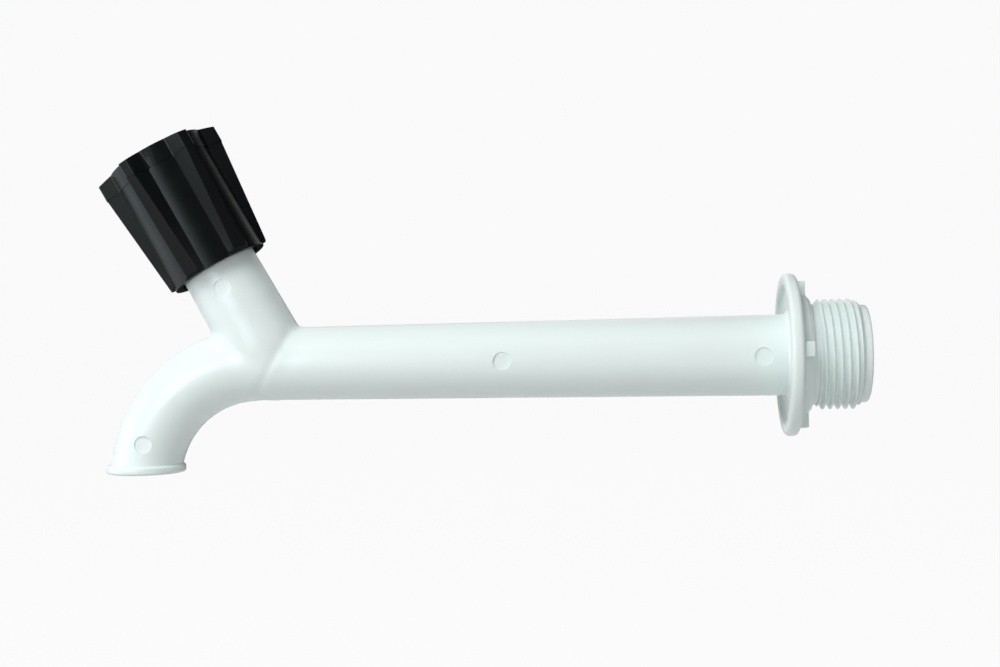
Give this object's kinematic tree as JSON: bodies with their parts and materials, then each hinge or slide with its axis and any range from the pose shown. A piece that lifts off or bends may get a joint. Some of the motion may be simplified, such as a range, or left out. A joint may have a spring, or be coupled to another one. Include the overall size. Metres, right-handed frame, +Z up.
{
  "type": "sink tap",
  "caption": "Long-body wall-mounted sink tap in white moulded plastic: flanged threaded inlet, bent spout, and a black ribbed knob on a leaning neck that turns and lifts the valve.",
  "frame": {"origin": "on the inlet's axis, on the wall side of the flange", "axes": "+X along the inlet into the wall, +Z up, and the spout and knob lie in the plane Y = 0 towards -X"},
  "size_m": [0.1856, 0.039, 0.085],
  "materials": {
    "white_plastic": "semi-gloss moulded",
    "black_plastic": "semi-gloss moulded",
    "bonnet_plastic": "satin moulded",
    "brass": "turned",
    "rubber": "matt",
    "steel": "bright"
  },
  "bodies": {
    "tap_body": {"body": "white_plastic", "bonnet": "bonnet_plastic", "bonnet_seal": "rubber"},
    "valve_plate": {"jumper": "brass", "seat_washer": "rubber", "washer_screw": "brass"},
    "knob_and_spindle": {"spindle": "brass", "spindle_o_rings": "rubber", "knob": "black_plastic", "knob_screw": "steel", "knob_cap": "black_plastic"}
  },
  "joints": [
    {"name": "valve_lift", "type": "slide", "parent": "tap_body", "child": "valve_plate", "axis": [-0.4818, 0, 0.8763], "range_m": [0, 0.0045]},
    {"name": "knob_turn", "type": "hinge", "parent": "valve_plate", "child": "knob_and_spindle", "pos_m": [-0.1266, 0, 0], "axis": [-0.4818, 0, 0.8763], "range_deg": [0, 541]}
  ],
  "couplings": [
    {"joint": "knob_turn", "follows": "valve_lift", "rad_per_m": 2094.4}
  ]
}
